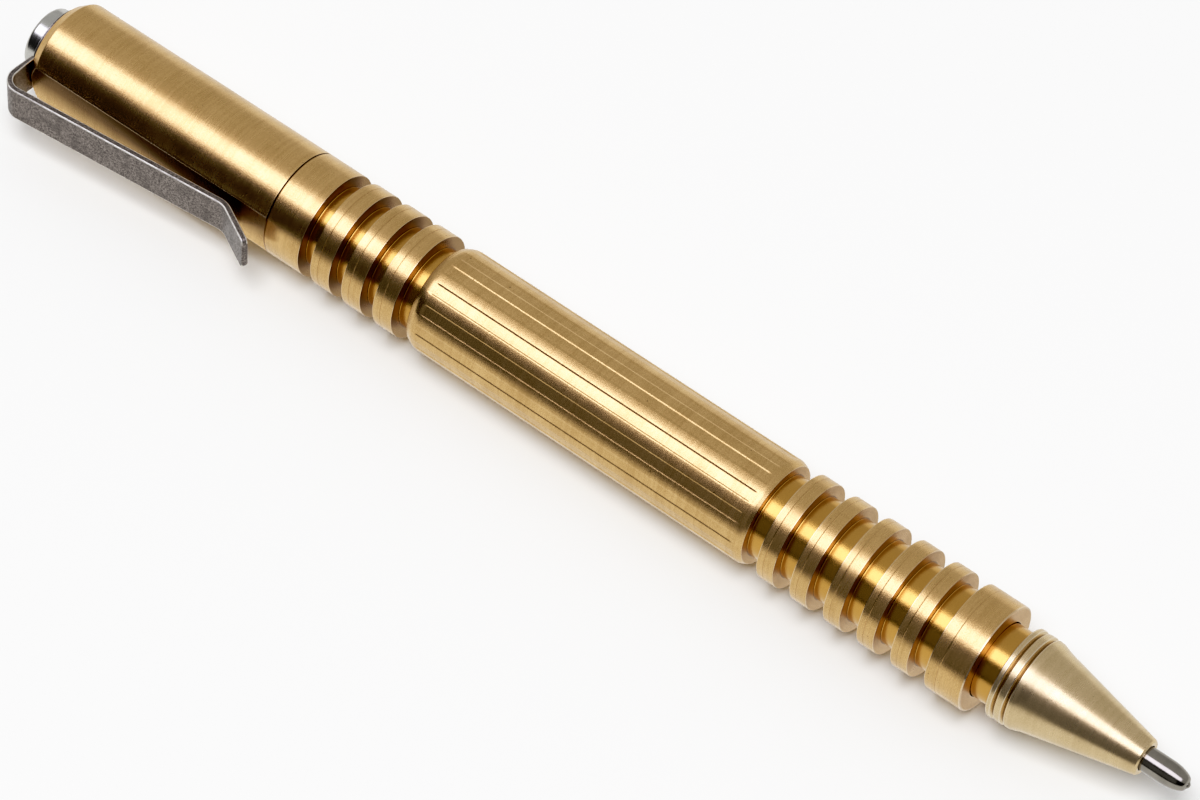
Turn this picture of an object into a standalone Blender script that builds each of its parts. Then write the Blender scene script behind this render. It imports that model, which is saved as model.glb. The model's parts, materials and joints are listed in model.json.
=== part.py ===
"""Retractable ballpoint pen with a turned brass body, a bent steel clip and a click mechanism.

The pen lies level with its point towards +X. Its parts are modelled along their own Z axis, which
starts at the rim of the rear barrel and runs to the point, with the clip on the +X side of that axis.
"""

import math

import bmesh
import bpy
from mathutils import Matrix, Vector

MM = 0.001

# Driving dimensions
BARREL_RADIUS = 5.556 * MM
RIM_RADIUS = 4.75 * MM
REAR_RADIUS = 5.44 * MM
RIM_CHAMFER = 0.95 * MM
SEAM_Z = 30.08 * MM
SEAM_GAP = 0.10 * MM
FLAT_HEIGHT = 5.0 * MM
CLIP_ABOVE_LEVEL = math.radians(5)

RING_PITCH = 3.81 * MM
GROOVE_RADIUS = 4.35 * MM
REAR_GROOVE_Z = 34.40 * MM
REAR_GROOVE_WIDTH = 1.52 * MM
REAR_GROOVES = 4
GRIP_END_Z = 87.10 * MM
FRONT_GROOVES = 6
FRONT_RING_WIDTH = 1.90 * MM
FRONT_END_Z = 112.04 * MM

FLUTES = 15
FLUTE_WIDTH = 1.12 * MM
FLUTE_DEPTH = 0.10 * MM
FLUTE_MARGIN = 0.70 * MM

NECK_RADIUS = 3.90 * MM
NOSE_Z = 114.19 * MM
NOSE_RADIUS = 4.65 * MM
MOUTH_Z = 128.70 * MM
MOUTH_RADIUS = 1.85 * MM
MOUTH_HOLE_RADIUS = 1.31 * MM

POINT_RADIUS = 1.225 * MM
TIP_Z = 133.40 * MM
BALL_RADIUS = 0.35 * MM
REFILL_RADIUS = 2.95 * MM
REFILL_LENGTH = 98.10 * MM

BUTTON_RADIUS = 3.35 * MM
BUTTON_END_Z = -2.35 * MM
BUTTON_LENGTH = 17.35 * MM
BUTTON_BORE = 2.60 * MM

EYE_RADIUS = 4.20 * MM
EYE_HOLE_RADIUS = 3.74 * MM
CLIP_WIDTH = 4.1 * MM
CLIP_THICKNESS = 0.48 * MM
CLIP_BEND_RADIUS = 1.9 * MM
CLIP_TILT = math.radians(5.4)
CLIP_REACH = 8.70 * MM
CLIP_KINK_Z = 25.6 * MM
CLIP_TAIL_LENGTH = 4.7 * MM
CLIP_TAIL_ANGLE = math.radians(28)
CLIP_SPLIT = 0.12 * MM

SPIGOT_RADIUS = 4.35 * MM
SPIGOT_Z = 22.1 * MM
SEAL_Z = 28.9 * MM
SEAL_THICKNESS = 0.15 * MM
SEAL_RADIUS = 4.25 * MM

MECHANISM_BORE = 3.85 * MM
COLLAR_END_Z = 7.0 * MM

# Running clearances and thin gaps
FIT = 0.08 * MM
REST_GAP = 0.30 * MM
END_GAP = 0.10 * MM
STRIP_GAP = 0.02 * MM

# Derived places
GRIP_Z = REAR_GROOVE_Z + (REAR_GROOVES - 1) * RING_PITCH + REAR_GROOVE_WIDTH
WIDE_RING_Z = GRIP_END_Z + FRONT_GROOVES * RING_PITCH - FRONT_RING_WIDTH
EYE_Z = -STRIP_GAP - CLIP_THICKNESS
REFILL_Z = TIP_Z - REFILL_LENGTH
BARREL_MIDDLE_Z = (TIP_Z + BUTTON_END_Z) / 2
CLIP_EDGE_RISE = 0.09 * MM  # the clip's lower edge stands this far beyond its reach when rolled
AXIS_Y = (CLIP_REACH + CLIP_EDGE_RISE - BARREL_RADIUS) / 2

BARREL_STEPS = 40
SMALL_STEPS = 32
FINE_STEPS = 24
MERGE_DISTANCE = 1e-6


def clear_scene():
    for obj in list(bpy.data.objects):
        bpy.data.objects.remove(obj)


def new_collection(name):
    collection = bpy.data.collections.new(name)
    bpy.context.scene.collection.children.link(collection)
    return collection


def finish(name, colour, roughness, metallic):
    """A plain material of one colour."""
    material = bpy.data.materials.new(name)
    material.use_nodes = True
    shader = material.node_tree.nodes["Principled BSDF"]
    shader.inputs["Base Color"].default_value = (*colour, 1.0)
    shader.inputs["Roughness"].default_value = roughness
    shader.inputs["Metallic"].default_value = metallic
    return material


def new_object(name, data, collection, parent, material=None):
    obj = bpy.data.objects.new(name, data)
    collection.objects.link(obj)
    obj.parent = parent
    if material:
        data.materials.append(material)
    return obj


def smooth(mesh):
    mesh.shade_smooth()
    mesh.set_sharp_from_angle(angle=math.radians(30))


def turned(name, profile, material, parent, steps=SMALL_STEPS, collection=None):
    """A solid of revolution about Z. The profile runs down the outer side from its highest point,
    and closes on itself unless it starts and ends on the axis."""
    closed = profile[0][0] > 0
    mesh = bpy.data.meshes.new(name)
    points = [(radius, 0, z) for radius, z in profile]
    edges = [(i, i + 1) for i in range(len(points) - 1)]
    if closed:
        edges.append((len(points) - 1, 0))
    mesh.from_pydata(points, edges, [])
    obj = new_object(name, mesh, collection or parts, parent, material)
    screw = obj.modifiers.new("Turned", "SCREW")
    screw.axis = "Z"
    screw.steps = steps
    screw.render_steps = steps
    screw.use_merge_vertices = True
    screw.merge_threshold = MERGE_DISTANCE
    screw.use_smooth_shade = False
    return obj


def ring(outer, inner, low, high):
    """The closed profile of a plain tube."""
    return [(outer, high), (outer, low), (inner, low), (inner, high)]


def solid_from_curve(obj):
    """Replaces a curve object by the mesh that it makes, with its caps welded on."""
    graph = bpy.context.evaluated_depsgraph_get()
    mesh = bpy.data.meshes.new_from_object(obj.evaluated_get(graph))
    work = bmesh.new()
    work.from_mesh(mesh)
    bmesh.ops.remove_doubles(work, verts=work.verts, dist=MERGE_DISTANCE)
    bmesh.ops.recalc_face_normals(work, faces=work.faces)
    work.to_mesh(mesh)
    work.free()
    solid = bpy.data.objects.new(obj.name, mesh)
    for collection in obj.users_collection:
        collection.objects.link(solid)
    solid.parent = obj.parent
    solid.matrix_parent_inverse = obj.matrix_parent_inverse
    solid.matrix_basis = obj.matrix_basis
    name = obj.name
    bpy.data.objects.remove(obj)
    solid.name = name
    return solid


def combine(obj, other, operation):
    """Joins or cuts one object by another, which becomes a hidden cutter."""
    modifier = obj.modifiers.new(other.name, "BOOLEAN")
    modifier.operation = operation
    modifier.solver = "EXACT"
    modifier.object = other
    other.hide_render = True
    other.display_type = "WIRE"


def boxes(name, sizes_and_places, parent):
    """Separate boxes in one cutter mesh: each entry is (size, place, turn about Z)."""
    work = bmesh.new()
    for size, place, turn in sizes_and_places:
        matrix = Matrix.Rotation(turn, 4, "Z") @ Matrix.Translation(place)
        matrix = matrix @ Matrix.Diagonal((*size, 1))
        bmesh.ops.create_cube(work, size=1, matrix=matrix)
    mesh = bpy.data.meshes.new(name)
    work.to_mesh(mesh)
    work.free()
    return new_object(name, mesh, cutters, parent)


def strip(name, outline, width, material, parent, collection=None):
    """A flat outline in the (radius, z) plane, extruded to a width across that plane."""
    curve = bpy.data.curves.new(name, "CURVE")
    curve.dimensions = "2D"
    curve.fill_mode = "BOTH"
    curve.extrude = width / 2
    spline = curve.splines.new("POLY")
    spline.points.add(len(outline) - 1)
    for point, (radius, z) in zip(spline.points, outline):
        point.co = (radius, z, 0, 1)
    spline.use_cyclic_u = True
    obj = new_object(name, curve, collection or parts, parent, material)
    obj.rotation_euler = (math.pi / 2, 0, 0)
    return solid_from_curve(obj)


def arc(centre, radius, start, end, count):
    """Points along an arc in the (radius, z) plane."""
    turns = [start + (end - start) * i / count for i in range(count + 1)]
    return [centre + radius * Vector((math.cos(t), math.sin(t))) for t in turns]


def groove_profile(start, end, floor, rim=BARREL_RADIUS):
    """The four points of a square groove, passed from its front edge to its rear edge."""
    return [(rim, end), (floor, end), (floor, start), (rim, start)]


# Brass body


def rear_barrel():
    """The shell behind the seam, with a bore for the mechanism and a socket for the front barrel."""
    socket = SPIGOT_RADIUS + END_GAP
    low = SEAM_Z - SEAM_GAP / 2
    profile = [
        (BARREL_RADIUS, low),
        (REAR_RADIUS, RIM_CHAMFER),
        (RIM_RADIUS, 0),
        (EYE_HOLE_RADIUS, 0),
        (EYE_HOLE_RADIUS, COLLAR_END_Z),
        (MECHANISM_BORE, COLLAR_END_Z),
        (MECHANISM_BORE, SPIGOT_Z - REST_GAP),
        (socket, SPIGOT_Z - REST_GAP),
        (socket, low),
    ]
    barrel = turned("rear_barrel", profile, brass, pen_axis, BARREL_STEPS)
    margin = 1 * MM
    length = SEAM_Z + 2 * margin
    place = Vector((FLAT_HEIGHT + margin, 0, length / 2 - margin))
    flat = boxes("milled_flat", [((2 * margin, BARREL_RADIUS, length), place, 0)], pen_axis)
    combine(barrel, flat, "DIFFERENCE")
    return barrel


def front_barrel():
    """The shell with the rings and the fluted grip, and a spigot that enters the rear barrel."""
    seal_half = SEAL_THICKNESS + END_GAP / 2
    seal_floor = SEAL_RADIUS - SEAL_THICKNESS - STRIP_GAP
    mechanism_end_z = 35.0 * MM
    bore = 3.15 * MM
    socket = NECK_RADIUS + FIT
    socket_z = WIDE_RING_Z + 0.2 * MM
    start = SEAM_Z + SEAM_GAP / 2
    rear_chamfer = 0.85 * MM
    front_chamfer = 0.60 * MM

    profile = [(BARREL_RADIUS, FRONT_END_Z)]
    for i in reversed(range(FRONT_GROOVES)):
        groove_z = GRIP_END_Z + i * RING_PITCH
        width = RING_PITCH - FRONT_RING_WIDTH
        points = groove_profile(groove_z, groove_z + width, GROOVE_RADIUS)
        if i == 0:
            points[-1] = (BARREL_RADIUS - front_chamfer / 2, GRIP_END_Z)
        profile += points
    profile.append((BARREL_RADIUS, GRIP_END_Z - front_chamfer))
    profile.append((BARREL_RADIUS, GRIP_Z + rear_chamfer))
    for i in reversed(range(REAR_GROOVES)):
        groove_z = REAR_GROOVE_Z + i * RING_PITCH
        points = groove_profile(groove_z, groove_z + REAR_GROOVE_WIDTH, GROOVE_RADIUS)
        if i == REAR_GROOVES - 1:
            points[0] = (BARREL_RADIUS - rear_chamfer / 2, GRIP_Z)
        profile += points
    profile += [
        (BARREL_RADIUS, start),
        (SPIGOT_RADIUS, start),
        *groove_profile(SEAL_Z - seal_half, SEAL_Z + seal_half, seal_floor, SPIGOT_RADIUS),
        (SPIGOT_RADIUS, SPIGOT_Z),
        (MECHANISM_BORE, SPIGOT_Z),
        (MECHANISM_BORE, mechanism_end_z),
        (bore, mechanism_end_z),
        (bore, socket_z),
        (socket, socket_z),
        (socket, FRONT_END_Z),
    ]
    barrel = turned("front_barrel", profile, brass, pen_axis, BARREL_STEPS)

    low = GRIP_Z + FLUTE_MARGIN
    high = GRIP_END_Z - FLUTE_MARGIN
    depth = 4 * FLUTE_DEPTH
    size = (depth, FLUTE_WIDTH, high - low)
    place = Vector((BARREL_RADIUS - FLUTE_DEPTH + depth / 2, 0, (low + high) / 2))
    step = 2 * math.pi / FLUTES
    slots = [(size, place, step * (i + 0.5)) for i in range(FLUTES)]
    combine(barrel, boxes("grip_flutes", slots, pen_axis), "DIFFERENCE")
    return barrel


def nose_cone():
    """The turned nose, with two fine grooves round its collar and a mouth for the point."""
    fine_grooves = (0.70 * MM, 1.80 * MM)
    half_width = 0.17 * MM
    depth = 0.30 * MM
    collar_end = 2.55 * MM
    cone_radius = 4.20 * MM
    lip = 0.15 * MM
    bore = 3.10 * MM
    bore_end_z = 115.6 * MM
    cavity = 1.95 * MM
    cavity_end_z = 124.0 * MM
    spigot_z = WIDE_RING_Z + 0.4 * MM
    profile = [
        (MOUTH_RADIUS - lip, MOUTH_Z),
        (MOUTH_RADIUS, MOUTH_Z - lip),
        (cone_radius, NOSE_Z + 3.5 * MM),
        (NOSE_RADIUS - 0.12 * MM, NOSE_Z + collar_end),
    ]
    for z in reversed(fine_grooves):
        profile.append((NOSE_RADIUS - 0.05 * MM, NOSE_Z + z + half_width))
        profile.append((NOSE_RADIUS - depth, NOSE_Z + z))
        profile.append((NOSE_RADIUS, NOSE_Z + z - half_width))
    profile += [
        (NOSE_RADIUS, NOSE_Z + 0.15 * MM),
        (NOSE_RADIUS - 0.15 * MM, NOSE_Z),
        (NECK_RADIUS, NOSE_Z),
        (NECK_RADIUS, spigot_z),
        (bore, spigot_z),
        (bore, bore_end_z),
        (cavity, bore_end_z + 1.1 * MM),
        (cavity, cavity_end_z),
        (MOUTH_HOLE_RADIUS, cavity_end_z),
        (MOUTH_HOLE_RADIUS, MOUTH_Z),
    ]
    return turned("nose_cone", profile, pale_brass, pen_axis, BARREL_STEPS)


# Steel clip: one bent strip with an eye, parted across its leg where it flexes


def clip_line():
    """The strip's outer face seen from the side: the foot of the leg, the directions of the leg and
    the arm, the corner where they would meet, the kink and the direction of the tail."""
    leg = Vector((math.cos(CLIP_TILT), -math.sin(CLIP_TILT)))
    arm = Vector((-math.sin(CLIP_TILT), math.cos(CLIP_TILT)))
    foot = Vector((EYE_HOLE_RADIUS + STRIP_GAP, EYE_Z))
    corner = foot + leg * (CLIP_REACH - foot.x) / leg.x
    kink = corner + arm * (CLIP_KINK_Z - corner.y) / arm.y
    tail = Vector((math.sin(CLIP_TAIL_ANGLE), math.cos(CLIP_TAIL_ANGLE)))
    return foot, leg, arm, corner, kink, tail


def clip_split():
    """Where the leg is parted, measured from its foot."""
    foot, _, _, corner, _, _ = clip_line()
    return (corner - foot).length - CLIP_BEND_RADIUS - CLIP_THICKNESS / 2


def clip_root():
    """The eye that the collar holds against the rim, with the first stretch of the leg."""
    foot, leg, arm, _, _, _ = clip_line()
    tip = foot + leg * (clip_split() - CLIP_SPLIT / 2)
    outline = [foot, tip, tip + arm * CLIP_THICKNESS, foot + arm * (CLIP_THICKNESS - STRIP_GAP)]
    plate = strip("clip_leg", outline, CLIP_WIDTH, clip_steel, pen_axis, cutters)
    eye = turned(
        "clip_root",
        ring(EYE_RADIUS, EYE_HOLE_RADIUS, EYE_Z, -STRIP_GAP),
        clip_steel,
        pen_axis,
        BARREL_STEPS,
    )
    combine(eye, plate, "UNION")
    return eye


def clip_arm():
    """The rest of the leg, the bend, the long arm and the tail that is turned up."""
    foot, leg, arm, corner, kink, tail = clip_line()
    start = foot + leg * (clip_split() + CLIP_SPLIT / 2)
    centre = corner - leg * CLIP_BEND_RADIUS + arm * CLIP_BEND_RADIUS
    leg_side = math.atan2(-arm.y, -arm.x)
    arm_side = math.atan2(leg.y, leg.x)
    steps = 6
    outer = arc(centre, CLIP_BEND_RADIUS, leg_side, arm_side, steps)
    inner = arc(centre, CLIP_BEND_RADIUS - CLIP_THICKNESS, leg_side, arm_side, steps)
    arm_in = Vector((-arm.y, arm.x)) * CLIP_THICKNESS
    tail_in = Vector((-tail.y, tail.x)) * CLIP_THICKNESS
    mitre = (arm_in + tail_in) / (1 + arm_in.normalized().dot(tail_in.normalized()))
    end = kink + tail * CLIP_TAIL_LENGTH
    far_side = [start] + outer + [kink, end]
    near_side = [start + arm * CLIP_THICKNESS] + inner + [kink + mitre, end + tail_in]
    plate = strip("clip_arm", far_side + near_side[::-1], CLIP_WIDTH, clip_steel, clip_hinge)
    plate.location = -clip_hinge.location
    return plate


def clip_hinge_place():
    foot, leg, arm, _, _, _ = clip_line()
    middle = foot + leg * clip_split() + arm * CLIP_THICKNESS / 2
    return Vector((middle.x, 0, middle.y))


# Click mechanism


def retaining_collar():
    """The thin collar that is screwed in through the clip's eye and guides the button."""
    flange = 3.95 * MM
    flange_thickness = 0.15 * MM
    shank = EYE_HOLE_RADIUS - FIT
    inner = BUTTON_RADIUS + FIT
    flange_z = EYE_Z - STRIP_GAP
    profile = [
        (shank, COLLAR_END_Z),
        (shank, flange_z),
        (flange, flange_z),
        (flange, flange_z - flange_thickness),
        (inner, flange_z - flange_thickness),
        (inner, COLLAR_END_Z),
    ]
    return turned("retaining_collar", profile, steel, pen_axis)


MECHANISM_RADIUS = MECHANISM_BORE - FIT
MECHANISM_INNER_RADIUS = BUTTON_RADIUS + FIT


def mechanism_tube():
    """The thin tube that holds the whole click mechanism together."""
    profile = ring(MECHANISM_RADIUS, MECHANISM_INNER_RADIUS, COLLAR_END_Z + REST_GAP, 33.0 * MM)
    return turned("mechanism_tube", profile, steel, pen_axis)


SLEEVE_Z = 16.6 * MM
LEDGE_Z = 26.6 * MM
TRACKS = 4
TRACK_RADIUS = 3.00 * MM
LEDGE_RADIUS = 2.75 * MM
RUNNER_RADIUS = 2.93 * MM
RUNNER_WIDTH = 1.3 * MM
SIDE_PLAY = 0.25 * MM
TOOTH_DEPTH = 0.45 * MM


def cam_sleeve():
    """The fixed sleeve: a tube with four ledges inside it, which leave four tracks between them."""
    outer = MECHANISM_INNER_RADIUS - FIT
    end_z = 32.6 * MM
    margin = 1 * MM
    sleeve = turned("cam_sleeve", ring(outer, LEDGE_RADIUS, SLEEVE_Z, end_z), plastic, pen_axis)
    counterbore = [
        (0, end_z + margin),
        (TRACK_RADIUS, end_z + margin),
        (TRACK_RADIUS, LEDGE_Z),
        (0, LEDGE_Z),
    ]
    cutter = turned("sleeve_counterbore", counterbore, None, pen_axis, collection=cutters)
    combine(sleeve, cutter, "DIFFERENCE")
    length = LEDGE_Z - SLEEVE_Z + 2 * margin
    reach = TRACK_RADIUS + FIT / 2
    size = (reach, RUNNER_WIDTH + 2 * SIDE_PLAY, length)
    place = Vector((reach / 2, 0, SLEEVE_Z - margin + length / 2))
    for i in range(TRACKS):
        track = boxes(f"sleeve_track_{i}", [(size, place, i * 2 * math.pi / TRACKS)], pen_axis)
        combine(sleeve, track, "DIFFERENCE")
    return sleeve


def add_runners(body, name, low, high, parent):
    """Four runners on a turned body, which slide in the sleeve's tracks, as two crossed bars."""
    size = (2 * RUNNER_RADIUS, RUNNER_WIDTH, high - low)
    middle = Vector((0, 0, (low + high) / 2))
    for i in range(TRACKS // 2):
        bar = boxes(f"{name}_{i}", [(size, middle, i * math.pi / 2)], parent)
        combine(body, bar, "UNION")


def cut_teeth(body, name, z, parent):
    """Notches across the end face of a turned body, which leave a crown of teeth."""
    side = TOOTH_DEPTH * math.sqrt(2)
    size = (3 * RUNNER_RADIUS, side, side)
    for i in range(TRACKS):
        turn = (i + 0.5) * math.pi / TRACKS
        matrix = Matrix.Rotation(turn, 4, "Z") @ Matrix.Translation((0, 0, z))
        matrix = matrix @ Matrix.Rotation(math.pi / 4, 4, "X")
        work = bmesh.new()
        bmesh.ops.create_cube(work, size=1, matrix=matrix @ Matrix.Diagonal((*size, 1)))
        mesh = bpy.data.meshes.new(f"{name}_{i}")
        work.to_mesh(mesh)
        work.free()
        combine(body, new_object(f"{name}_{i}", mesh, cutters, parent), "DIFFERENCE")


def push_button():
    """A drawn steel cup, pressed onto the plunger."""
    edge = 0.5 * MM
    front = BUTTON_END_Z + BUTTON_LENGTH
    floor_z = BUTTON_END_Z + 1.2 * MM
    rounded = arc(Vector((BUTTON_RADIUS - edge, BUTTON_END_Z + edge)), edge, 0, -math.pi / 2, 4)
    profile = [(0, floor_z), (BUTTON_BORE, floor_z), (BUTTON_BORE, front), (BUTTON_RADIUS, front)]
    profile += [tuple(point) for point in rounded]
    profile.append((0, BUTTON_END_Z))
    return turned("push_button", profile, steel, button_slide)


PLUNGER_END_Z = 26.35 * MM


def plunger():
    """The toothed plunger that the button pushes against the rotor."""
    low = 0.5 * MM
    thick = BUTTON_BORE - FIT
    profile = [(0, PLUNGER_END_Z), (thick, PLUNGER_END_Z), (thick, low), (0, low)]
    body = turned("plunger", profile, plastic, button_slide, FINE_STEPS)
    runner_z = BUTTON_END_Z + BUTTON_LENGTH + 2 * MM
    add_runners(body, "plunger_runner", runner_z, PLUNGER_END_Z - END_GAP, button_slide)
    cut_teeth(body, "plunger_notch", PLUNGER_END_Z, button_slide)
    return body


ROTOR_Z = 26.65 * MM
ROTOR_END_Z = REFILL_Z - REST_GAP


def rotor():
    """The toothed rotor that the plunger turns at each click, and that rests on the refill."""
    thick = LEDGE_RADIUS - 2 * FIT
    runner_z = ROTOR_Z + END_GAP
    runner_length = 2.5 * MM
    profile = [(0, ROTOR_END_Z), (thick, ROTOR_END_Z), (thick, ROTOR_Z), (0, ROTOR_Z)]
    body = turned("rotor", profile, rotor_plastic, rotor_axis, FINE_STEPS)
    add_runners(body, "rotor_runner", runner_z, runner_z + runner_length, rotor_axis)
    cut_teeth(body, "rotor_notch", ROTOR_Z, rotor_axis)
    return body


# Refill

TUBE_Z = REFILL_Z + 2.1 * MM
TUBE_END_Z = 112.0 * MM
TUBE_BORE = 2.60 * MM
STEM_RADIUS = TUBE_BORE - FIT
STEM_LENGTH = 3.0 * MM
CAP_RADIUS = REFILL_RADIUS - FIT / 2
HOLDER_NECK = 1.40 * MM
HOLDER_END_Z = 121.6 * MM
SHANK_RADIUS = 0.85 * MM
SHANK_LENGTH = 6.0 * MM


def refill_plug():
    """The vented plastic plug in the rear end of the tube, which the rotor pushes."""
    stem_end_z = TUBE_Z + STEM_LENGTH
    cap_end_z = TUBE_Z - END_GAP
    profile = [
        (0, stem_end_z),
        (STEM_RADIUS, stem_end_z),
        (STEM_RADIUS, cap_end_z),
        (CAP_RADIUS, cap_end_z),
        (CAP_RADIUS, REFILL_Z),
        (0, REFILL_Z),
    ]
    return turned("refill_plug", profile, plastic, tip_slide, FINE_STEPS)


def refill_tube():
    """The steel tube that holds the ink."""
    return turned(
        "refill_tube", ring(REFILL_RADIUS, TUBE_BORE, TUBE_Z, TUBE_END_Z), refill_steel, tip_slide
    )


def tip_holder():
    """The brass piece pressed into the tube's front end, with the shoulder that takes the spring."""
    shoulder_z = TUBE_END_Z + END_GAP
    shoulder_end_z = TUBE_END_Z + 0.6 * MM
    neck_z = 114.4 * MM
    bore = SHANK_RADIUS + END_GAP
    profile = [
        (HOLDER_NECK, HOLDER_END_Z),
        (HOLDER_NECK, neck_z),
        (CAP_RADIUS, shoulder_end_z),
        (CAP_RADIUS, shoulder_z),
        (STEM_RADIUS, shoulder_z),
        (STEM_RADIUS, TUBE_END_Z - STEM_LENGTH),
        (bore, TUBE_END_Z - STEM_LENGTH),
        (bore, HOLDER_END_Z),
    ]
    return turned("tip_holder", profile, holder_brass, tip_slide, FINE_STEPS)


def plug_of(name, low, high, material):
    """A full length of the refill tube's bore."""
    profile = [(0, high), (STEM_RADIUS, high), (STEM_RADIUS, low), (0, low)]
    return turned(name, profile, material, tip_slide, FINE_STEPS)


INK_Z = 62.0 * MM


def ink_column():
    return plug_of("ink_column", INK_Z, TUBE_END_Z - STEM_LENGTH - REST_GAP, ink_blue)


def ink_follower():
    """The grease that follows the ink down the tube."""
    length = 5 * MM
    return plug_of("ink_follower", INK_Z - length, INK_Z - END_GAP, grease)


def refill_point():
    """The steel writing point, with a socket for its ball."""
    shoulder_z = HOLDER_END_Z + END_GAP
    nose_z = 130.8 * MM
    rim_z = TIP_Z - 0.22 * MM
    rim = BALL_RADIUS + 0.06 * MM
    socket = BALL_RADIUS + STRIP_GAP
    socket_z = rim_z - 0.55 * MM
    steps = 6
    ogive = []
    for i in range(steps + 1):
        share = i / steps
        radius = rim + (POINT_RADIUS - rim) * math.sqrt(1 - (1 - share) ** 2)
        ogive.append((radius, rim_z + (nose_z - rim_z) * share))
    profile = [(0, socket_z), (socket, socket_z), (socket, rim_z)]
    profile += ogive
    profile += [
        (POINT_RADIUS, shoulder_z),
        (SHANK_RADIUS, shoulder_z),
        (SHANK_RADIUS, HOLDER_END_Z - SHANK_LENGTH),
        (0, HOLDER_END_Z - SHANK_LENGTH),
    ]
    return turned("refill_point", profile, point_steel, tip_slide, FINE_STEPS)


def point_ball():
    """The ball, loose in the point's socket."""
    mesh = bpy.data.meshes.new("point_ball")
    work = bmesh.new()
    bmesh.ops.create_uvsphere(work, u_segments=12, v_segments=8, radius=BALL_RADIUS)
    work.to_mesh(mesh)
    work.free()
    return new_object("point_ball", mesh, parts, ball_axis, carbide)


def return_spring():
    """A compression spring round the refill's neck, as a wire along a helix."""
    wire = 0.18 * MM
    coil = 1.67 * MM
    low = 114.95 * MM
    high = 123.75 * MM
    turns = 10
    points_per_turn = 10
    count = turns * points_per_turn + 1
    curve = bpy.data.curves.new("return_spring", "CURVE")
    curve.dimensions = "3D"
    curve.bevel_depth = wire
    curve.bevel_resolution = 2
    curve.use_fill_caps = True
    spline = curve.splines.new("POLY")
    spline.points.add(count - 1)
    for i, point in enumerate(spline.points):
        turn = 2 * math.pi * i / points_per_turn
        z = low + (high - low) * i / (count - 1)
        point.co = (coil * math.cos(turn), coil * math.sin(turn), z, 1)
    return solid_from_curve(new_object("return_spring", curve, parts, pen_axis, spring_steel))


def joint_o_ring():
    """The rubber ring that seals and holds the threaded joint between the two barrels."""
    steps = 8
    turns = [-2 * math.pi * (i + 0.5) / steps for i in range(steps)]
    loop = [
        (SEAL_RADIUS + SEAL_THICKNESS * math.cos(t), SEAL_Z + SEAL_THICKNESS * math.sin(t))
        for t in turns
    ]
    return turned("joint_o_ring", loop, rubber, pen_axis)


def empty(name, matrix, parent=None):
    obj = bpy.data.objects.new(name, None)
    parts.objects.link(obj)
    obj.parent = parent
    obj.matrix_basis = matrix
    return obj


clear_scene()
parts = new_collection("ballpoint_pen")
cutters = new_collection("cutters")

brass = finish("brass", (0.72, 0.53, 0.26), 0.32, 1.0)
pale_brass = finish("pale_brass", (0.70, 0.58, 0.36), 0.28, 1.0)
clip_steel = finish("clip_steel", (0.42, 0.39, 0.38), 0.45, 1.0)
steel = finish("steel", (0.70, 0.70, 0.70), 0.15, 1.0)
refill_steel = finish("refill_steel", (0.62, 0.62, 0.63), 0.3, 1.0)
point_steel = finish("point_steel", (0.60, 0.58, 0.58), 0.18, 1.0)
spring_steel = finish("spring_steel", (0.55, 0.55, 0.55), 0.3, 1.0)
holder_brass = finish("holder_brass", (0.75, 0.58, 0.30), 0.3, 1.0)
carbide = finish("carbide", (0.35, 0.35, 0.36), 0.1, 1.0)
plastic = finish("plastic", (0.85, 0.85, 0.83), 0.4, 0.0)
rotor_plastic = finish("rotor_plastic", (0.15, 0.15, 0.16), 0.4, 0.0)
ink_blue = finish("ink_blue", (0.02, 0.03, 0.12), 0.2, 0.0)
grease = finish("grease", (0.75, 0.70, 0.50), 0.4, 0.0)
rubber = finish("rubber", (0.03, 0.03, 0.03), 0.7, 0.0)

roll = Matrix.Rotation(-math.pi / 2 - CLIP_ABOVE_LEVEL, 4, "X") @ Matrix.Rotation(math.pi / 2, 4, "Y")
pen_axis = empty(
    "pen_axis", Matrix.Translation((-BARREL_MIDDLE_Z, AXIS_Y, BARREL_RADIUS)) @ roll
)
tip_slide = empty("tip_slide", Matrix(), pen_axis)
button_slide = empty("button_slide", Matrix(), pen_axis)
rotor_axis = empty("rotor_axis", Matrix(), tip_slide)
ball_axis = empty("ball_axis", Matrix.Translation((0, 0, TIP_Z - BALL_RADIUS)), tip_slide)
clip_hinge = empty("clip_hinge", Matrix.Translation(clip_hinge_place()), pen_axis)

for build in (
    rear_barrel, front_barrel, nose_cone, clip_root, clip_arm, retaining_collar, mechanism_tube,
    cam_sleeve, push_button, plunger, rotor, refill_plug, refill_tube, tip_holder, ink_column,
    ink_follower, refill_point, point_ball, return_spring, joint_o_ring,
):
    build()

for piece in parts.objects:
    if piece.type == "MESH":
        smooth(piece.data)
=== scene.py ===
import json
import math

import bmesh
import bpy
from mathutils import Matrix, Vector


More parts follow.
